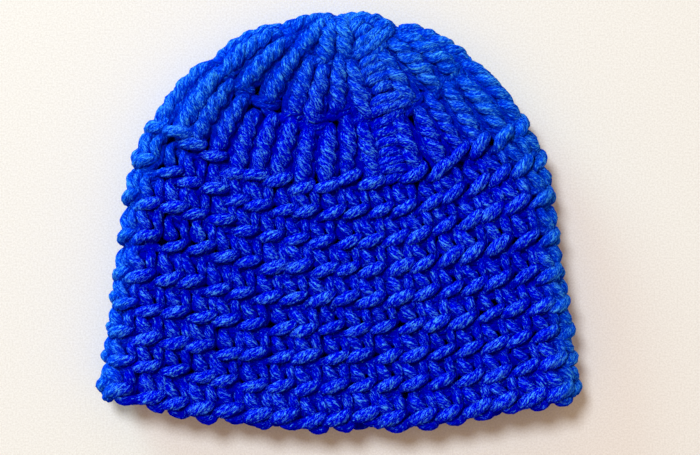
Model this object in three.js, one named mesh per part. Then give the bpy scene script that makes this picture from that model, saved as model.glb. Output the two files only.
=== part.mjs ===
// A crocheted beanie cap, lying flat on a table.
//
// It is worked from the crown down in joined rounds of one thick, soft yarn: a drawn-up starting
// ring, three crown rounds of tall stitches with increases, seven body rounds of short stitches
// and a brim round. Each round is a closed ring of stitches that grows out of the round before
// it, so each is modelled as its own ring-shaped solid. The two yarn ends are woven in on the
// inside, one at the crown and one at the brim.
//
// Millimetres. +Z is up from the table, +Y points to the crown and the opening faces -Y. The
// origin is on the table, under the middle of the cap.

import * as THREE from 'three';
import { ParametricGeometry } from 'three/addons/geometries/ParametricGeometry.js';

// ---- Driving dimensions ----

const LENGTH = 209;              // crown edge to brim, lying flat
const CROWN_RADIUS = 109;        // the crown's arched outline, seen from above
const SIDE_FLARE = THREE.MathUtils.degToRad(7.4);  // each side leans outwards towards the brim
const WALL = 8.6;                // thickness of the crocheted fabric
const HALF_GAP = 11;             // half the distance between the middles of the two layers
const FRONT_SINK = 2.2;          // how far the upper layer settles in the middle
const YARN = 5.0;                // diameter of the yarn

const RING_HOLE = 1.6;           // inner radius of the drawn-up starting ring
const RING_END = 6.5;            // where the first crown round grows out of it
const CROWN_ROUND_ENDS = [28.5, 58.5, 93.5];   // distance from the crown's centre, along the fabric
const BODY_ROUNDS = 7;
const BODY_ROUND_HEIGHT = 14.25;

const FOLD_EXTRA = 50;           // how much longer the folded sides are than the centre line
const FOLD_EXTRA_BY = 160;       // how far along the fabric that extra length has been taken up

const ROUND_GAP = 0.5;           // clearance between neighbouring solids
const EDGE_ROUNDING = 2.4;       // chamfer on the outer edges of a round
const EDGE_DEPTH = 1.9;
const SEGMENTS = 56;             // facets round each ring
const STRIP = 11;                // and about how tall they are on a tall round
const CROWDING = 0.65;           // how strongly those facets crowd towards the folds

const COLOURS = { crown: 0x0b3fe0, body: 0x0a3ad8, brim: 0x0936cc, tail: 0x0b3fe0 };

// ---- The shape of the cap's fabric ----
//
// The cap is a dome pressed flat. Its upper and lower layers are joined round the outline by a
// rolled fold of radius HALF_GAP. "Unrolling" the upper layer and half of the fold onto a plane
// gives a chart bounded by the seam, where the two layers meet.

const QUARTER = Math.PI / 2;
const FLATTENED = (QUARTER - 1) * HALF_GAP;             // what the rolled fold hides in plan
const SEAM_RADIUS = CROWN_RADIUS - WALL / 2 + FLATTENED;
const SEAM_TURN = QUARTER - SIDE_FLARE;                 // the angle at which the arch meets a side
const MIDDLE_HEIGHT = HALF_GAP + WALL / 2;              // of the plane between the layers
const SEAM_TOP = LENGTH / 2 - WALL / 2 + FLATTENED;     // y of the seam's top, in the chart
const FABRIC_END = LENGTH - WALL / 2 + FLATTENED;       // crown centre to brim, along the fabric

// The point of the seam at a distance along it from the crown's centre, and its outward normal.
function seam(along) {
  const turn = Math.min(along / SEAM_RADIUS, SEAM_TURN);
  const straight = along - turn * SEAM_RADIUS;
  const normal = new THREE.Vector2(Math.sin(turn), Math.cos(turn));
  const point = new THREE.Vector2(
    SEAM_RADIUS * normal.x + straight * normal.y,
    SEAM_RADIUS * (normal.y - 1) - straight * normal.x,
  );
  return { point, normal };
}

// Half of a row of stitches in the chart, from the cap's centre line to the seam, which it meets
// at a right angle. "along" is how far the row is from the crown's centre.
function halfRow(along) {
  const extra = FOLD_EXTRA * THREE.MathUtils.smoothstep(along, 0, FOLD_EXTRA_BY);
  const fold = seam(along + extra);
  const middle = new THREE.Vector2(0, -along);
  const reach = 0.5 * fold.point.clone().sub(middle).dot(fold.normal);
  return new THREE.CubicBezierCurve(
    middle,
    new THREE.Vector2(fold.point.x / 2, -along),
    fold.point.clone().addScaledVector(fold.normal, -reach),
    fold.point,
  );
}

// The middle of the fabric at a distance from the crown's centre and a turn round the cap:
// 0 is the middle of the upper layer, 0.25 the right fold, 0.5 the lower layer, 0.75 the left.
const rows = new Map();
function fabric(along, turn) {
  if (!rows.has(along)) rows.set(along, halfRow(along));
  const quarterTurn = 4 * (turn - Math.floor(turn));
  const side = quarterTurn < 2 ? 1 : -1;                 // right or left
  const layer = quarterTurn < 1 || quarterTurn > 3 ? 1 : -1;
  const fromMiddle = layer > 0 ? Math.min(quarterTurn, 4 - quarterTurn) : Math.abs(quarterTurn - 2);
  const flat = rows.get(along).getPointAt(fromMiddle);

  // The nearest point of the seam, and how far inside it this point lies.
  const out = new THREE.Vector2(flat.x, flat.y + SEAM_RADIUS);
  const direction = Math.min(Math.atan2(out.x, out.y), SEAM_TURN);
  const normal = new THREE.Vector2(Math.sin(direction), Math.cos(direction));
  const inside = SEAM_RADIUS - out.dot(normal);

  // Roll the chart round the fold.
  const roll = Math.min(Math.max(inside, 0) / HALF_GAP, QUARTER);
  flat.addScaledVector(normal, -HALF_GAP * (QUARTER - roll - Math.cos(roll)));
  const settled = layer > 0 ? FRONT_SINK * THREE.MathUtils.smoothstep(inside, 20, 75) : 0;
  return new THREE.Vector3(
    side * flat.x,
    SEAM_TOP + flat.y,
    MIDDLE_HEIGHT + layer * HALF_GAP * Math.sin(roll) - settled,
  );
}

const STEP = 0.05;
const TURN_STEP = 1e-4;
function offsetFabric(along, turn, outwards) {
  const a = Math.max(along, STEP);
  const down = fabric(a + STEP, turn).sub(fabric(a - STEP, turn));
  const round = fabric(a, turn + TURN_STEP).sub(fabric(a, turn - TURN_STEP));
  const normal = round.cross(down).normalize();
  return fabric(a, turn).addScaledVector(normal, -outwards);
}

// ---- Solids ----

// One round: a closed ring with a flat inner face and a rounded outer one, so that the rounds
// show as ribs.
function roundGeometry(from, to) {
  const edge = Math.min(EDGE_ROUNDING, (to - from) / 3);
  const strips = Math.ceil((to - from - 2 * edge) / STRIP);
  const section = [];
  for (let i = 0; i <= strips; i++) {
    section.push([THREE.MathUtils.lerp(from, to, i / strips), -WALL / 2]);
  }
  section.push([to, WALL / 2 - EDGE_DEPTH]);
  for (let i = strips; i >= 0; i--) {
    section.push([THREE.MathUtils.lerp(from + edge, to - edge, i / strips), WALL / 2]);
  }
  section.push([from, WALL / 2 - EDGE_DEPTH]);

  const surface = (u, v, target) => {
    const [along, outwards] = section[Math.round(v * section.length) % section.length];
    const turn = u + CROWDING * Math.sin(4 * Math.PI * u) / (4 * Math.PI);
    target.copy(offsetFabric(along, turn, outwards));
  };
  return new ParametricGeometry(surface, SEGMENTS, section.length);
}

// A woven-in end: yarn lying against the inside of the fabric, along the given route.
function tailGeometry(route) {
  const inset = -(WALL / 2 + ROUND_GAP + YARN / 2);
  const path = new THREE.CatmullRomCurve3(route.map(([along, turn]) => offsetFabric(along, turn, inset)));
  const section = new THREE.Shape().absarc(0, 0, YARN / 2, 0, 2 * Math.PI);
  return new THREE.ExtrudeGeometry(section, {
    curveSegments: 4,
    steps: 2 * (route.length - 1),
    extrudePath: path,
  });
}

function yarnMaterial(colour) {
  return new THREE.MeshStandardMaterial({ color: colour, roughness: 0.9, metalness: 0 });
}

// ---- The cap ----

const cap = new THREE.Group();

function add(name, geometry, material) {
  const mesh = new THREE.Mesh(geometry, material);
  mesh.name = name;
  cap.add(mesh);
}

const crownYarn = yarnMaterial(COLOURS.crown);
const bodyYarn = yarnMaterial(COLOURS.body);
const brimYarn = yarnMaterial(COLOURS.brim);
const tailYarn = yarnMaterial(COLOURS.tail);

add('starting_ring', roundGeometry(RING_HOLE, RING_END), crownYarn);

let from = RING_END;
CROWN_ROUND_ENDS.forEach((to, i) => {
  add(`crown_round_${i + 1}`, roundGeometry(from + ROUND_GAP, to), crownYarn);
  from = to;
});

for (let i = 1; i <= BODY_ROUNDS; i++) {
  add(`body_round_${i}`, roundGeometry(from + ROUND_GAP, from + BODY_ROUND_HEIGHT), bodyYarn);
  from += BODY_ROUND_HEIGHT;
}

add('brim_round', roundGeometry(from + ROUND_GAP, FABRIC_END), brimYarn);

// Each tail runs through points given as distances from the crown's centre and turns.
add('start_tail', tailGeometry([
  [33, 0.40], [34, 0.44], [33, 0.48], [34, 0.52], [33, 0.56],
]), tailYarn);
add('finish_tail', tailGeometry([
  [FABRIC_END - 8, 0.69], [FABRIC_END - 17, 0.68], [FABRIC_END - 26, 0.685],
  [FABRIC_END - 35, 0.68], [FABRIC_END - 44, 0.685],
]), tailYarn);

export default cap;
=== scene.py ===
# A crocheted beanie cap lying flat on a table, seen from straight above.
#
# Every round of the cap is modelled as its real yarn: stitches are drawn as a path on the cap's
# fabric, and a plied yarn is swept along that path. The cap is worked out in millimetres, and
# its meshes, the camera, the lights and the table are in metres.
import math

import bpy
import numpy as np
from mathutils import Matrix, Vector


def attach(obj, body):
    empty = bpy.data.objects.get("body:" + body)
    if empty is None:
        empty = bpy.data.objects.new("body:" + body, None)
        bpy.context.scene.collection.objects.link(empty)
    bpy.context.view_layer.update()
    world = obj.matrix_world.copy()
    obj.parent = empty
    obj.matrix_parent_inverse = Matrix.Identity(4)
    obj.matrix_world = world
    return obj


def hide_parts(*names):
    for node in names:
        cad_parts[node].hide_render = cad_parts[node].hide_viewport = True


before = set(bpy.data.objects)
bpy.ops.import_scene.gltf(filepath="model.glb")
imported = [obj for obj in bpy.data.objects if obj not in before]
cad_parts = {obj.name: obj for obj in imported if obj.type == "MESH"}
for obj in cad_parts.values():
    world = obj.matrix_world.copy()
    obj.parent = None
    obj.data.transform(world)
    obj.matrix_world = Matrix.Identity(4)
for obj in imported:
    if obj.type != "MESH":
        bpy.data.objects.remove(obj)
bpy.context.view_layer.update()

MM = 0.001
SEED = 7

# ---- The cap, in millimetres ----

LENGTH = 209.0
CROWN_RADIUS = 109.0
SIDE_FLARE = math.radians(7.4)           # how far the sides lean out towards the brim
WALL = 8.6                               # thickness of the fabric
HALF_GAP = 11.0                          # half the height between the middles of the two layers
FRONT_SINK = 2.2                         # how far the upper layer has settled
SINK_START, SINK_END = 20.0, 75.0        # how far in from the side folds it begins, and is all there
FOLD_EXTRA = 50.0                        # how much further off the brim is along a fold
FOLD_EXTRA_BY = 160.0                    # how far down the middle all of that has been added
ROW_CURVE_POINTS = 160

# The chart is one layer of fabric laid out flat, with its half of the folds unrolled. It starts at
# the middle of the crown. Its outline is the seam: an arc that runs into a straight line at each side.
QUARTER = math.pi / 2
FLATTENED = (QUARTER - 1) * HALF_GAP
SEAM_RADIUS = CROWN_RADIUS - WALL / 2 + FLATTENED
SEAM_TURN = QUARTER - SIDE_FLARE
MIDDLE_HEIGHT = HALF_GAP + WALL / 2
SEAM_TOP = LENGTH / 2 - WALL / 2 + FLATTENED
FABRIC_END = LENGTH - WALL / 2 + FLATTENED

# ---- The rounds, in millimetres down the fabric from the middle of the crown ----

RING_AT = 3.6                            # the starting ring
RING_POINTS = 12
RING_OUT = 0.5
RING_THICKNESS = 0.8
CROWN_START = 3.5
# Of each crown round: where it ends, its number of stitches, where the loop on top of a stitch lies
# (as b, below) and how far it stands out in mm, where the round is joined, as stitches round the
# cap, and how far the strands of the join reach, in stitches.
CROWN_ROUNDS = (
    (28.5, 12, 0.94, -2.8, 0.94, 0.4),
    (58.5, 24, 0.95, -2.8, 1.50, 0.3),
    (93.5, 36, 0.84, 2.2, 1.90, 0.1),
)
POST_TWISTS = (1.3, 2.1)                 # fewest and most turns of a post's strands
POST_LEAN = 0.25                         # the most that a post leans, in stitches
BODY_ROUNDS = 7
BODY_ROUND_HEIGHT = 14.5
BODY_OVERLAP = 2.0                       # how far the first body round reaches up under the crown
BODY_STITCHES = 36
BRIM_THICKNESS = 1.12                    # the last round is worked tighter, so its loops are fuller
BRIM_LIFT = 2.4                          # its back loops stand out, as nothing is worked into them
BRIM_TUCK = 2.2                          # how far short of the fabric's edge its last loops end
TAIL_OUT = -(WALL / 2 + 3.0)             # the tails lie on the inside of the fabric
TAIL_THICKNESS = 0.9
# Of each tail: the points that it passes, as distance down the fabric and turn round the cap.
TAILS = {
    "start_tail": [(33, 0.40), (34, 0.44), (33, 0.48), (34, 0.52), (33, 0.56)],
    "finish_tail": [(FABRIC_END - 8, 0.69), (FABRIC_END - 17, 0.68), (FABRIC_END - 26, 0.685),
                    (FABRIC_END - 35, 0.68), (FABRIC_END - 44, 0.685)],
}

# ---- How the stitches lie ----

WOBBLE = (0.065, 0.045, 0.40, 0.07)      # how uneven stitches are: a, b, outwards, thickness
POINT_SHARE = 0.3                        # the share of that by which each single point is uneven
EDGE_CURL = 1.8                          # how far the brim's edge turns inwards, in mm
CURL_REACH = 10.0                        # how far up from the edge that begins
CORNER_ROUNDING = 2.0                    # how far the brim is drawn up at the side folds, in mm
CORNER_REACH = 35.0                      # how far up from the edge that begins
CORNER_WIDTH = 0.045                     # how far round the cap from the folds it reaches, in turns
FOLD_WIDTH = 0.03                        # the same for what the folds do to the stitches
FOLD_BULGE = 1.4                         # how far the fabric stands out there, in mm
FOLD_FLATNESS = 0.5                      # how much of the stitches' relief is lost there
FOLD_FULLNESS = 0.16                     # how much thicker the yarn is there
PRESSED = 0.6                            # how softly the underside is flattened on the table, in mm

# ---- The yarn, in millimetres ----

YARN_RADIUS = 2.5
PLIES = 5
PLY_PROFILE = (1.03, 0.99, 0.86, 0.99)   # radius across one ply; the lowest is the groove
AROUND = PLIES * len(PLY_PROFILE)        # points in one ring round the yarn
RING_ANGLES = np.linspace(0, 2 * math.pi, AROUND, endpoint=False)[None, :]
PLY_PITCH = 42.0                         # length of yarn in which the plies make one turn
STRAY_PITCH = 20.0                       # the same for stray fibres, which turn the other way
FUZZ = 0.045                             # how uneven the yarn's surface is
STEP_ALONG = 1.05                        # distance between the rings of points along the yarn
LEAST_RINGS = 8
MOST_RINGS = 4900                        # in one piece, which keeps it under 200,000 triangles
RELAXINGS = 2
END_RINGS = 3.0                          # rings over which a loose end is rounded off
END_SIZE = 0.3                           # how far into that rounding the very end lies, in rings

# ---- Colours ----

# A painted sheen: the blue is painted paler and greener at the top of the crown and along the side
# folds, where the rounded fabric catches the light.
SIDE_SHEEN_BAND = 16.0                    # how far in from the side folds the painted sheen reaches, as a paler, greener blue, in mm
CROWN_SHEEN_BAND = 60.0                   # the same at the top of the crown
CROWN_SHEEN_FROM, CROWN_SHEEN_TO = 0.0, 70.0   # Y between which one band widens into the other
RELIEF_LOW, RELIEF_HIGH = -1.0, 5.0      # from the hollows between stitches to their crests, in mm: over this, painted shade in the hollows gives way to painted highlight on the crests
CREST_PAINTED_HIGHLIGHT = 0.085                     # how far the colour is moved towards the bright stops on the crests, a painted highlight
FIBRE_STRETCH = (1.0, 1.0, 0.4)          # the noise is longest along the yarn
FINE_FIBRES = (2100.0, 2.5)              # scale and detail of each noise
STRAY_FIBRES = (1900.0, 2.5)
COARSE_FIBRES = (900.0, 2.0)
CANVAS_GRAIN = (1100.0, 2.0)
NOISE_ROUGHNESS = 0.6
FINE_SHARE, COARSE_SHARE = 0.65, 0.35    # of the fibres' height
FIBRE_DEPTH = 0.002                      # in metres
# Stops of the colour ramps: the value of the noise, and its colour. The noise gives the yarn's own
# mottled fibres, and the bright cyan top stops are also painted highlights, glints off the fibres.
DEEP_BLUES = (
    (0.535, (0.000, 0.000, 0.52)),
    (0.628, (0.000, 0.004, 0.86)),
    (0.704, (0.085, 0.385, 0.96)),
)
# The blues of the painted sheen: paler and greener, for where the rounded fabric catches the light.
PAINTED_SHEEN_BLUES = (
    (0.525, (0.000, 0.016, 0.54)),
    (0.618, (0.000, 0.090, 0.87)),
    (0.704, (0.065, 0.415, 0.96)),
)
CANVAS_COLOURS = (
    (0.35, (0.71, 0.645, 0.61)),
    (0.65, (0.80, 0.74, 0.71)),
)

# ---- Camera, light and table, in metres ----

CAMERA_HEIGHT = 0.90                     # above the middle of the cap
CAMERA_X, CAMERA_Y = 0.0053, -0.0030
FIELD_WIDTH = 0.351                      # what the camera sees from side to side at that distance
SENSOR_WIDTH = 36.0
TABLE_HALF = 6.0
WORLD_COLOUR = (1.0, 0.75, 0.48, 1.0)
WORLD_STRENGTH = 0.57
# Of each light: its name, place, size, power in watts and colour.
LIGHTS = (
    ("key", (-0.77, 1.14, 2.65), 0.9, 78.5, (0.80, 0.91, 1.0)),
    ("rim", (-2.2, 2.6, 0.80), 1.6, 104.0, (0.35, 0.85, 1.0)),
)


def smoothstep(x, low, high):
    t = np.clip((x - low) / (high - low), 0.0, 1.0)
    return t * t * (3 - 2 * t)


def lengths_along(points):
    """How far along a path each of its points is."""
    spans = np.linalg.norm(np.diff(points, axis=0), axis=1)
    return np.concatenate([[0], np.cumsum(spans)])


# ---- The shape of the fabric: the same map as the CAD model's ----

def bezier(controls, samples):
    t = np.linspace(0.0, 1.0, samples)[:, None]
    return ((1 - t) ** 3 * controls[0] + 3 * t * (1 - t) ** 2 * controls[1]
            + 3 * t * t * (1 - t) * controls[2] + t ** 3 * controls[3])


def half_row(along, samples):
    """A row of stitches in the chart, from the cap's centre line to its side fold."""
    reach = along + FOLD_EXTRA * smoothstep(along, 0.0, FOLD_EXTRA_BY)
    turn = min(reach / SEAM_RADIUS, SEAM_TURN)
    straight = reach - turn * SEAM_RADIUS
    normal = np.array([math.sin(turn), math.cos(turn)])
    fold = np.array([
        SEAM_RADIUS * normal[0] + straight * normal[1],
        SEAM_RADIUS * (normal[1] - 1) - straight * normal[0],
    ])
    middle = np.array([0.0, -along])
    # The row leaves the centre line level and meets the fold at a right angle.
    handle = 0.5 * float((fold - middle) @ normal)
    controls = [middle, np.array([fold[0] / 2, -along]), fold - handle * normal, fold]
    curve = bezier(controls, ROW_CURVE_POINTS)
    lengths = lengths_along(curve)
    wanted = np.linspace(0.0, lengths[-1], samples)
    return np.stack([np.interp(wanted, lengths, curve[:, 0]),
                     np.interp(wanted, lengths, curve[:, 1])], axis=1)


def roll_up(flat, side, layer):
    """Roll points of the chart round the fold, onto the upper (1) or lower (-1) layer."""
    direction = np.minimum(np.arctan2(flat[..., 0], flat[..., 1] + SEAM_RADIUS), SEAM_TURN)
    normal = np.stack([np.sin(direction), np.cos(direction)], axis=-1)
    out = flat + np.array([0.0, SEAM_RADIUS])
    inside = SEAM_RADIUS - np.sum(out * normal, axis=-1)
    roll = np.minimum(np.maximum(inside, 0.0) / HALF_GAP, QUARTER)
    flat = flat - (HALF_GAP * (QUARTER - roll - np.cos(roll)))[..., None] * normal
    settled = FRONT_SINK * smoothstep(inside, SINK_START, SINK_END) if layer > 0 else 0.0
    return np.stack([side * flat[..., 0], SEAM_TOP + flat[..., 1],
                     MIDDLE_HEIGHT + layer * HALF_GAP * np.sin(roll) - settled], axis=-1)


class Fabric:
    """The middle of the fabric and its outward normal, tabulated over the whole cap.

    A place on it is how far it is from the middle of the crown, and its turn round the cap, from
    0 to 1, which starts at the centre of the upper layer and passes the fold at +X first.
    """
    QUARTER_STEPS = 96
    FIRST_ROW = 0.25
    ROW_STEP = 1.0
    ROWS_PAST_END = 6.0

    def __init__(self):
        alongs = np.arange(self.FIRST_ROW, FABRIC_END + self.ROWS_PAST_END, self.ROW_STEP)
        half = np.stack([half_row(along, self.QUARTER_STEPS + 1) for along in alongs])
        back = half[:, ::-1]
        quarters = [(half, 1, 1), (back, 1, -1), (half, -1, -1), (back, -1, 1)]
        self.points = np.concatenate(
            [roll_up(flat, side, layer)[:, :-1] for flat, side, layer in quarters], axis=1)
        self.columns = self.points.shape[1]
        sideways = np.roll(self.points, -1, axis=1) - np.roll(self.points, 1, axis=1)
        down = np.gradient(self.points, axis=0)
        normal = np.cross(down, sideways)
        self.normals = normal / np.linalg.norm(normal, axis=-1, keepdims=True)

    def at(self, along, turn, outwards):
        """Places on the fabric, as columns: position, outward direction, distance outwards."""
        # Just short of the last row, so that there is always a row after it to blend with.
        row = np.clip((along - self.FIRST_ROW) / self.ROW_STEP, 0, len(self.points) - 1.001)
        column = (turn % 1.0) * self.columns
        r, c = np.floor(row).astype(int), np.floor(column).astype(int)
        fr, fc = (row - r)[:, None], (column - c)[:, None]
        c0, c1 = c % self.columns, (c + 1) % self.columns

        def blend(table):
            top = table[r, c0] * (1 - fc) + table[r, c1] * fc
            bottom = table[r + 1, c0] * (1 - fc) + table[r + 1, c1] * fc
            return top * (1 - fr) + bottom * fr

        normals = blend(self.normals)
        points = blend(self.points) + normals * outwards[:, None]
        return np.column_stack([points, normals, outwards])


FABRIC = Fabric()


# ---- Stitches ----
#
# A stitch is a list of points that its yarn passes through: (a, b, outwards mm, thickness).
# a counts stitches along the round and b runs from the crown side of the round (0) to its
# brim side (1). The last point leads into the first point of the next stitch.

SHORT_STITCH = [
    (0.04, 0.86, -0.4, 0.80),    # the front loop, left lying on the outside as a slanted ridge
    (0.18, 0.81, 1.5, 1.02),
    (0.42, 0.73, 2.5, 1.18),
    (0.66, 0.64, 2.5, 1.18),
    (0.86, 0.56, 1.3, 0.98),
    (0.95, 0.45, -1.0, 0.86),    # turns back and up into the right leg
    (0.88, 0.33, 0.6, 0.96),
    (0.86, 0.20, 1.3, 1.02),
    (0.84, 0.06, 0.0, 0.92),
    (0.72, -0.08, -2.6, 0.95),   # through the back loop of the round before
    (0.34, -0.10, -2.8, 0.95),
    (0.20, 0.04, -0.6, 0.90),
    (0.24, 0.17, 1.3, 1.04),     # the left leg
    (0.36, 0.30, 1.5, 1.10),
    (0.50, 0.44, 0.2, 1.04),
    (0.34, 0.50, -2.2, 1.10),    # behind this stitch
    (0.12, 0.34, -3.4, 1.12),
    (0.44, 0.13, -4.0, 1.18),
    (0.88, 0.20, -3.9, 1.18),
    (1.00, 0.44, -3.1, 1.20),
    (0.80, 0.70, -3.1, 1.15),
    (0.46, 0.84, -2.8, 1.15),    # the back loop, which the next round is worked into
    (0.72, 0.97, -2.8, 1.10),
    (0.94, 0.96, -2.6, 1.00),
]
BACK_LOOP_POINTS = 3             # the last points of a short stitch


def tall_stitch(chain, raised, twists, lean):
    """A post of two strands twisted round each other over two plain ones, and the loop on its top.

    chain is where the loop lies, as b, and raised is how far it stands out of the fabric, in mm.
    twists counts the turns of the two strands, and lean is how far the post slants, in stitches.
    """
    base, top = 0.06, chain - 0.09
    middle, twist_radius = 0.5, 0.19
    middle_out, twist_out, sunk = 1.5, 1.6, 0.6
    levels = np.linspace(top, base, 13)

    def twisted(b, start):
        """A point of a twisted strand. The post is narrowest at its two ends."""
        level = (b - base) / (top - base)
        angle = start - 2 * math.pi * twists * level
        fullness = 0.55 + 0.45 * math.sin(math.pi * level) ** 0.5
        a = middle + lean * (level - 0.5) + twist_radius * fullness * math.cos(angle)
        out = (middle_out + twist_out * math.sin(angle)) * fullness - sunk
        thickness = 0.78 + 0.33 * fullness + 0.09 * math.sin(angle)
        return (a, b, out, thickness)

    loop = [
        (0.00, chain + 0.06, raised - 2.0, 0.82),
        (0.16, chain + 0.04, raised, 1.10),
        (0.48, chain, raised + 0.5, 1.24),
        (0.82, chain - 0.04, raised + 0.1, 1.12),
        (0.98, chain - 0.08, raised - 2.2, 0.82),
        (0.80, chain - 0.10, -0.8, 0.92),
    ]
    front_down = [twisted(b, math.pi) for b in levels]
    front_up = [twisted(b, 0.0) for b in levels[::-1]]
    back_down = [
        (0.30, top - 0.02, -3.4, 1.08),
        (0.14, top - 0.20, -3.1, 1.10),
        (0.13, 0.32, -3.1, 1.10),
        (0.31, 0.10, -3.4, 1.06),
    ]
    back_up = [(1.0 - a, b, out, size) for a, b, out, size in back_down[::-1]]
    back_loop = [
        (0.45, chain, -2.6, 0.95),
        (0.72, chain + 0.08, -3.3, 1.00),
        (0.95, chain + 0.11, -3.6, 0.90),
    ]
    front_foot = [(0.52, -0.03, -1.4, 0.95)]
    to_the_back = [(0.34, chain - 0.02, -1.2, 0.95)]
    back_foot = [(0.5, -0.03, -2.6, 1.0)]
    front = loop + front_down + front_foot + front_up
    return front + to_the_back + back_down + back_foot + back_up + back_loop


def joining_stitch(chain, spread):
    """The start of a crown round, where it is joined: strands lying across, one on another.

    spread is how far they reach over the stitches beside them.
    """
    # Of each strand: where it lies, as b, and its share of the spread.
    strands = (
        (chain - 0.12, 1.0),
        (chain - 0.25, 0.6),
        (0.50, -0.4),
        (0.35, 0.3),
        (0.22, 0.8),
        (0.07, 0.2),
    )
    points = [
        (0.10, chain + 0.05, -0.6, 0.9),
        (0.50, chain, 0.6, 1.1),
        (0.90, chain - 0.05, -0.4, 0.9),
    ]
    for b, share in strands:
        reach = spread * share
        points += [
            (0.90, b + 0.04, -1.8, 1.05),
            (1.00 + reach, b + 0.02, 0.0, 1.00),
            (0.72 + reach / 2, b - 0.01, 1.6, 1.12),
            (0.28 - reach / 2, b - 0.01, 1.6, 1.12),
            (0.04 - reach, b + 0.03, 0.0, 1.00),
            (0.30, b + 0.02, -2.4, 1.15),
        ]
    back = [(0.80, b, -2.9, 1.15) for b in np.linspace(0.0, chain, 4)]
    return points + back


def round_of_stitches(stitches, start, end, phase, rng):
    """The yarn of one closed round, as places on the fabric and thicknesses."""
    points = []
    for i, stitch in enumerate(stitches):
        uneven = np.array(stitch) + rng.normal(size=(len(stitch), 4)) * POINT_SHARE * WOBBLE
        uneven += rng.normal(size=4) * WOBBLE
        uneven[:, 0] += i + phase
        points.append(uneven)
    points = np.concatenate(points)
    turn = points[:, 0] / len(stitches)
    along = start + points[:, 1] * (end - start)
    curl = smoothstep(along, FABRIC_END - CURL_REACH, FABRIC_END)
    outwards = points[:, 2] - EDGE_CURL * curl
    # The folds are at turns 0.25 and 0.75.
    from_fold = np.abs((turn + 0.25) % 0.5 - 0.25) - 0.25
    corner = np.exp(-(from_fold / CORNER_WIDTH) ** 2)
    corner *= smoothstep(along, FABRIC_END - CORNER_REACH, FABRIC_END)
    along = along - CORNER_ROUNDING * corner
    stretched = np.exp(-(from_fold / FOLD_WIDTH) ** 2)
    outwards += stretched * (FOLD_BULGE - FOLD_FLATNESS * np.maximum(outwards, 0.0))
    return FABRIC.at(along, turn, outwards), points[:, 3] * (1 + FOLD_FULLNESS * stretched)


# ---- Yarn ----

def smooth_curve(points, closed, per_span=8):
    """A Catmull-Rom curve through the points."""
    count = len(points)
    spans = count if closed else count - 1
    index = np.arange(spans)

    def pick(offset):
        i = index + offset
        return points[i % count] if closed else points[np.clip(i, 0, count - 1)]

    before, first, second, after = (pick(offset)[:, None] for offset in (-1, 0, 1, 2))
    t = np.linspace(0, 1, per_span, endpoint=False)[None, :, None]
    curve = 0.5 * (2 * first + (second - before) * t
                   + (2 * before - 5 * first + 4 * second - after) * t ** 2
                   + (3 * first - before - 3 * second + after) * t ** 3)
    curve = curve.reshape(-1, points.shape[1])
    return curve if closed else np.concatenate([curve, points[-1:]])


def evenly_spaced(curve, closed, step):
    """Resample a curve whose first three columns are its position; also its length."""
    path = np.concatenate([curve, curve[:1]]) if closed else curve
    lengths = lengths_along(path[:, :3])
    count = min(max(int(lengths[-1] / step), LEAST_RINGS), MOST_RINGS)
    wanted = np.linspace(0, lengths[-1], count + 1)
    wanted = wanted[:-1] if closed else wanted
    return np.stack([np.interp(wanted, lengths, column) for column in path.T], axis=1), lengths[-1]


def relaxed(curve, closed, times):
    """Average each point with its neighbours, which rounds off tight turns."""
    for _ in range(times):
        middle = (np.roll(curve, 1, axis=0) + 2 * curve + np.roll(curve, -1, axis=0)) / 4
        if not closed:
            middle[0], middle[-1] = curve[0], curve[-1]
        curve = middle
    return curve


def frames_along(path, closed):
    """Two directions across the path at each point, which turn as little as possible."""
    if closed:
        tangent = np.roll(path, -1, axis=0) - np.roll(path, 1, axis=0)
    else:
        tangent = np.gradient(path, axis=0)
    tangent /= np.linalg.norm(tangent, axis=1, keepdims=True)
    across = np.empty_like(path)
    upright = abs(tangent[0][2]) >= 0.9
    side = np.cross(tangent[0], (1.0, 0.0, 0.0) if upright else (0.0, 0.0, 1.0))
    for i, direction in enumerate(tangent):
        side = side - direction * float(side @ direction)
        side /= math.sqrt(float(side @ side))
        across[i] = side
    return across, np.cross(tangent, across)


def ply_twist(across, beside, length, closed):
    """How far the plies have turned at each ring, and in all, counted in points of a ring.

    The last ring of a closed round meets the first, so its plies have to line up there.
    """
    rings = len(across)
    twist = -2 * math.pi * length / PLY_PITCH
    if not closed:
        return twist * np.arange(rings)[:, None] / (rings - 1), 0
    ply_turn = 2 * math.pi / PLIES
    slip = math.atan2(float(across[-1] @ beside[0]), float(across[-1] @ across[0]))
    twist = round((twist + slip) / ply_turn) * ply_turn - slip
    shift = round((twist + slip) / (2 * math.pi) * AROUND)
    return twist * np.arange(rings)[:, None] / rings, shift


def rounded_ends(rings):
    """How thick a loose yarn is at each ring, as a share of its full thickness."""
    from_end = np.minimum(np.arange(rings), np.arange(rings)[::-1])
    return np.sqrt(np.clip((from_end + END_SIZE) / END_RINGS, 0, 1))[:, None]


def tube_quads(rings, shift, closed):
    """The faces between the rings. The last ring meets the first shift points further round."""
    ring = np.arange(rings if closed else rings - 1)[:, None]
    point = np.arange(AROUND)[None, :]
    offset = np.where(ring == rings - 1, shift, 0)
    this_ring = ring * AROUND
    next_ring = (ring + 1) % rings * AROUND
    corners = [
        this_ring + point,
        this_ring + (point + 1) % AROUND,
        next_ring + (point + 1 + offset) % AROUND,
        next_ring + (point + offset) % AROUND,
    ]
    return np.stack(corners, axis=-1).reshape(-1, 4)


def fibre_maps(radius, length):
    """Coordinates for the material, in metres: two across the yarn, and one along its fibres."""
    rings = len(radius)
    distance = np.broadcast_to(np.linspace(0, length, rings)[:, None], (rings, AROUND))
    turns = {
        "fibre": RING_ANGLES + 0 * distance,
        "stray_fibre": RING_ANGLES + 2 * math.pi * distance / STRAY_PITCH,
    }
    maps = {}
    for key, turn in turns.items():
        columns = [radius[:, None] * np.cos(turn), radius[:, None] * np.sin(turn), distance]
        maps[key] = np.stack(columns, axis=-1).reshape(-1, 3) * MM
    return maps


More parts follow.
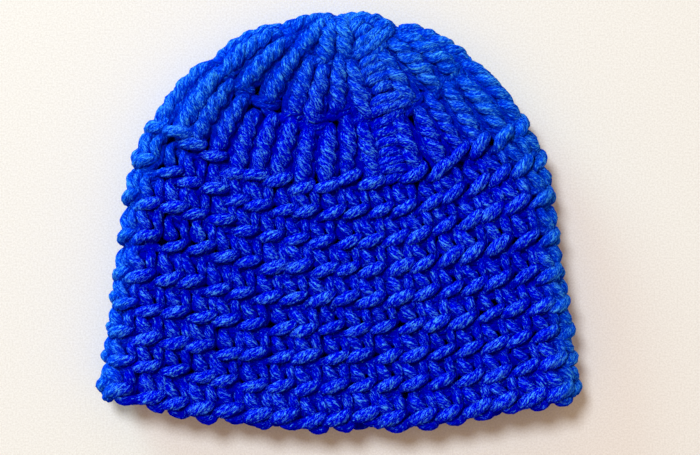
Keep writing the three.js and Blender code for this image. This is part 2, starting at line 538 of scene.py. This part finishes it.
def yarn_surface(path, radius, length, closed):
    """The rings' points as distances from the path and directions, and the shift at the join."""
    rings = len(path)
    across, beside = frames_along(path, closed)
    spin, shift = ply_twist(across, beside, length, closed)
    angle = RING_ANGLES + spin
    fuzz = 1 + FUZZ * np.random.default_rng(SEED).normal(size=(rings, AROUND))
    reach = radius[:, None] * np.tile(PLY_PROFILE, PLIES)[None, :] * fuzz
    if not closed:
        reach *= rounded_ends(rings)
    spoke = (np.cos(angle)[..., None] * across[:, None]
             + np.sin(angle)[..., None] * beside[:, None])
    return reach, spoke, shift


def add_attribute(mesh, key, kind, slot, values):
    attribute = mesh.attributes.new(key, kind, "POINT")
    attribute.data.foreach_set(slot, values.ravel())


def yarn_mesh(name, places, thickness, closed=True):
    """A plied yarn swept along places on the fabric, as one closed mesh in metres."""
    curve = smooth_curve(np.column_stack([places, thickness]), closed)
    curve, length = evenly_spaced(curve, closed, STEP_ALONG)
    curve = relaxed(curve, closed, RELAXINGS)
    path, normal, outwards = curve[:, :3], curve[:, 3:6], curve[:, 6]
    radius = curve[:, 7] * YARN_RADIUS
    rings = len(path)
    reach, spoke, shift = yarn_surface(path, radius, length, closed)
    vertices = path[:, None] + reach[..., None] * spoke
    relief = outwards[:, None] + reach * np.sum(spoke * normal[:, None], axis=-1)
    # The table is at height 0, and the yarn spreads out on it.
    height = vertices[..., 2]
    vertices[..., 2] = (height + np.sqrt(height ** 2 + 4 * PRESSED ** 2)) / 2
    vertices = vertices.reshape(-1, 3)

    quads = tube_quads(rings, shift, closed)
    ends = [] if closed else [range(AROUND)[::-1], range((rings - 1) * AROUND, rings * AROUND)]
    piece = build_mesh(name, vertices * MM, quads, ends)
    for key, values in fibre_maps(radius, length).items():
        add_attribute(piece.data, key, "FLOAT_VECTOR", "vector", values)
    # Painted light and shade: the crests of the stitches get lighter, flecked blues and the hollows
    # between them darker, deeper blues.
    painted_relief_light = np.clip((relief - RELIEF_LOW) / (RELIEF_HIGH - RELIEF_LOW), 0.0, 1.0)
    add_attribute(piece.data, "painted_sheen", "FLOAT", "value", painted_sheen(vertices).astype(np.float32))
    add_attribute(piece.data, "painted_relief_light", "FLOAT", "value", painted_relief_light.astype(np.float32))
    return piece


def painted_sheen(points):
    """How strong the painted sheen is, a paler, greener blue: most at the top of the crown and along
    the side folds.
    """
    from_centre = np.stack([np.abs(points[:, 0]), points[:, 1] - SEAM_TOP + SEAM_RADIUS], axis=1)
    turn = np.minimum(np.arctan2(from_centre[:, 0], from_centre[:, 1]), SEAM_TURN)
    reach = from_centre[:, 0] * np.sin(turn) + from_centre[:, 1] * np.cos(turn)
    inside = CROWN_RADIUS - reach
    widening = smoothstep(points[:, 1], CROWN_SHEEN_FROM, CROWN_SHEEN_TO)
    band = SIDE_SHEEN_BAND + (CROWN_SHEEN_BAND - SIDE_SHEEN_BAND) * widening
    return 1 - smoothstep(inside, 0.0, band)


def build_mesh(name, vertices, quads, ends):
    """An object made of quads, and of one flat face on each loose end of the yarn."""
    mesh = bpy.data.meshes.new(name)
    loops = np.concatenate([quads.ravel()] + [np.array(end) for end in ends])
    sizes = np.concatenate([np.full(len(quads), 4), [len(end) for end in ends]]).astype(int)
    starts = np.concatenate([[0], np.cumsum(sizes)[:-1]])
    mesh.vertices.add(len(vertices))
    mesh.vertices.foreach_set("co", vertices.ravel())
    mesh.loops.add(len(loops))
    mesh.loops.foreach_set("vertex_index", loops.astype(np.int32))
    mesh.polygons.add(len(sizes))
    mesh.polygons.foreach_set("loop_start", starts.astype(np.int32))
    mesh.polygons.foreach_set("use_smooth", np.ones(len(sizes), dtype=bool))
    mesh.update(calc_edges=True)
    mesh.validate()
    piece = bpy.data.objects.new(name, mesh)
    bpy.context.scene.collection.objects.link(piece)
    return piece


# ---- Materials ----

class Nodes:
    """A short way to add and join the nodes of one material."""

    def __init__(self, name):
        self.material = bpy.data.materials.new(name)
        self.material.use_nodes = True
        self.tree = self.material.node_tree
        self.shader = self.tree.nodes["Principled BSDF"]

    def add(self, kind, inputs=None, **settings):
        node = self.tree.nodes.new(kind)
        for key, value in settings.items():
            setattr(node, key, value)
        for key, value in (inputs or {}).items():
            if hasattr(value, "is_output"):
                self.tree.links.new(value, node.inputs[key])
            else:
                node.inputs[key].default_value = value
        return node

    def attribute(self, name):
        return self.add("ShaderNodeAttribute", attribute_name=name)

    def noise(self, place, scale, detail):
        inputs = {"Vector": place, "Scale": scale, "Detail": detail, "Roughness": NOISE_ROUGHNESS}
        return self.add("ShaderNodeTexNoise", inputs).outputs["Fac"]

    def combine(self, operation, *values):
        node = self.add("ShaderNodeMath", dict(enumerate(values)), operation=operation)
        return node.outputs["Value"]

    def ramp(self, factor, stops):
        node = self.add("ShaderNodeValToRGB", {"Fac": factor})
        while len(node.color_ramp.elements) < len(stops):
            node.color_ramp.elements.new(0.5)
        for element, (position, colour) in zip(node.color_ramp.elements, stops):
            element.position = position
            element.color = (*colour, 1.0)
        return node.outputs["Color"]

    def link(self, output, key):
        self.tree.links.new(output, self.shader.inputs[key])


def yarn_material():
    """Soft matt acrylic yarn: long fibres that follow the plies, and strays that cross them."""
    nodes = Nodes("blue_yarn")

    def streaks(attribute, scale, detail):
        inputs = {"Vector": nodes.attribute(attribute).outputs["Vector"], "Scale": FIBRE_STRETCH}
        place = nodes.add("ShaderNodeMapping", inputs).outputs["Vector"]
        return nodes.noise(place, scale, detail)

    fine = nodes.combine("MAXIMUM", streaks("fibre", *FINE_FIBRES),
                         streaks("stray_fibre", *STRAY_FIBRES))
    coarse = streaks("fibre", *COARSE_FIBRES)
    height = nodes.combine("ADD", nodes.combine("MULTIPLY", fine, FINE_SHARE),
                           nodes.combine("MULTIPLY", coarse, COARSE_SHARE))
    # Painted highlight on the crests of the stitches and painted shade in the hollows between them.
    painted_relief_light = nodes.attribute("painted_relief_light").outputs["Fac"]
    flecks = nodes.combine("MULTIPLY_ADD", painted_relief_light, CREST_PAINTED_HIGHLIGHT, height)
    # The painted sheen mixes the paler, greener blues in at the crown and along the folds.
    colour = nodes.add("ShaderNodeMixRGB", {
        "Fac": nodes.attribute("painted_sheen").outputs["Fac"],
        "Color1": nodes.ramp(flecks, DEEP_BLUES),
        "Color2": nodes.ramp(flecks, PAINTED_SHEEN_BLUES),
    })
    nodes.link(colour.outputs["Color"], "Base Color")
    bump = nodes.add("ShaderNodeBump", {"Height": height, "Strength": 1.0, "Distance": FIBRE_DEPTH})
    nodes.link(bump.outputs["Normal"], "Normal")
    nodes.shader.inputs["Roughness"].default_value = 0.75
    nodes.shader.inputs["Specular IOR Level"].default_value = 0.0
    return nodes.material


def canvas_material():
    """Unbleached plain-woven canvas, with the grain of its weave."""
    nodes = Nodes("canvas")
    place = nodes.add("ShaderNodeTexCoord").outputs["Object"]
    grain = nodes.noise(place, *CANVAS_GRAIN)
    nodes.link(nodes.ramp(grain, CANVAS_COLOURS), "Base Color")
    nodes.shader.inputs["Roughness"].default_value = 0.95
    nodes.shader.inputs["Specular IOR Level"].default_value = 0.1
    return nodes.material


# ---- Camera, light and table ----

def add_camera():
    data = bpy.data.cameras.new("camera")
    data.sensor_width = SENSOR_WIDTH
    data.lens = SENSOR_WIDTH * CAMERA_HEIGHT / FIELD_WIDTH
    camera = bpy.data.objects.new("camera", data)
    camera.location = (CAMERA_X, CAMERA_Y, CAMERA_HEIGHT + MIDDLE_HEIGHT * MM)
    bpy.context.scene.collection.objects.link(camera)
    bpy.context.scene.camera = camera


def add_light(name, location, size, power, colour):
    """A round area light that points at the middle of the cap."""
    data = bpy.data.lights.new(name, "AREA")
    data.shape = "DISK"
    data.size = size
    data.energy = power
    data.color = colour
    light = bpy.data.objects.new(name, data)
    light.location = location
    light.rotation_euler = (-Vector(location)).to_track_quat("-Z", "Y").to_euler()
    bpy.context.scene.collection.objects.link(light)


def add_table():
    mesh = bpy.data.meshes.new("table")
    corners = [(-TABLE_HALF, -TABLE_HALF, 0), (TABLE_HALF, -TABLE_HALF, 0),
               (TABLE_HALF, TABLE_HALF, 0), (-TABLE_HALF, TABLE_HALF, 0)]
    mesh.from_pydata(corners, [], [(0, 1, 2, 3)])
    table = bpy.data.objects.new("table", mesh)
    table.data.materials.append(canvas_material())
    bpy.context.scene.collection.objects.link(table)


def light_scene():
    world = bpy.data.worlds.new("studio")
    bpy.context.scene.world = world
    world.use_nodes = True
    background = world.node_tree.nodes["Background"]
    background.inputs["Color"].default_value = WORLD_COLOUR
    background.inputs["Strength"].default_value = WORLD_STRENGTH
    for light in LIGHTS:
        add_light(*light)
    bpy.context.scene.view_settings.view_transform = "Standard"


# ---- The cap ----

def finish_piece(piece, material, node):
    piece.data.materials.append(material)
    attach(piece, "root")
    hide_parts(node)


def add_round(node, stitches, start, end, phase, material, rng):
    places, thickness = round_of_stitches(stitches, start, end, phase, rng)
    piece = yarn_mesh(node + "_yarn", places, thickness)
    finish_piece(piece, material, node)


def add_starting_ring(material):
    turns = np.linspace(0, 1, RING_POINTS, endpoint=False)
    places = FABRIC.at(np.full(RING_POINTS, RING_AT), turns, np.full(RING_POINTS, RING_OUT))
    piece = yarn_mesh("starting_ring_yarn", places, np.full(RING_POINTS, RING_THICKNESS))
    finish_piece(piece, material, "starting_ring")


def add_crown(material, rng):
    """The rounds of tall stitches; returns where the last of them ends."""
    start = CROWN_START
    for i, (end, count, chain, raised, phase, spread) in enumerate(CROWN_ROUNDS):
        stitches = [joining_stitch(chain, spread)]
        for _ in range(count - 1):
            twists = rng.uniform(*POST_TWISTS)
            lean = rng.uniform(-POST_LEAN, POST_LEAN)
            stitches.append(tall_stitch(chain, raised, twists, lean))
        add_round(f"crown_round_{i + 1}", stitches, start, end, phase, material, rng)
        start = end
    return start


def add_body_and_brim(start, material, rng):
    """The rounds of short stitches, each begun at a chance place round the cap."""
    stitches = [SHORT_STITCH] * BODY_STITCHES
    for i in range(BODY_ROUNDS):
        end = start + BODY_ROUND_HEIGHT
        add_round(f"body_round_{i + 1}", stitches, start, end, rng.uniform(), material, rng)
        start = end
    brim_stitches = stitches * np.array([1.0, 1.0, 1.0, BRIM_THICKNESS])
    brim_stitches[:, -BACK_LOOP_POINTS:, 2] += BRIM_LIFT
    end = FABRIC_END - BRIM_TUCK
    add_round("brim_round", brim_stitches, start, end, rng.uniform(), material, rng)


def add_tails(material):
    for node, route in TAILS.items():
        along, turn = np.array(route).T
        places = FABRIC.at(along, turn, np.full(len(route), TAIL_OUT))
        thickness = np.full(len(route), TAIL_THICKNESS)
        piece = yarn_mesh(node + "_yarn", places, thickness, closed=False)
        finish_piece(piece, material, node)


def add_cap():
    material = yarn_material()
    rng = np.random.default_rng(SEED)
    add_starting_ring(material)
    crown_end = add_crown(material, rng)
    add_body_and_brim(crown_end - BODY_OVERLAP, material, rng)
    add_tails(material)


add_camera()
light_scene()
add_table()
add_cap()
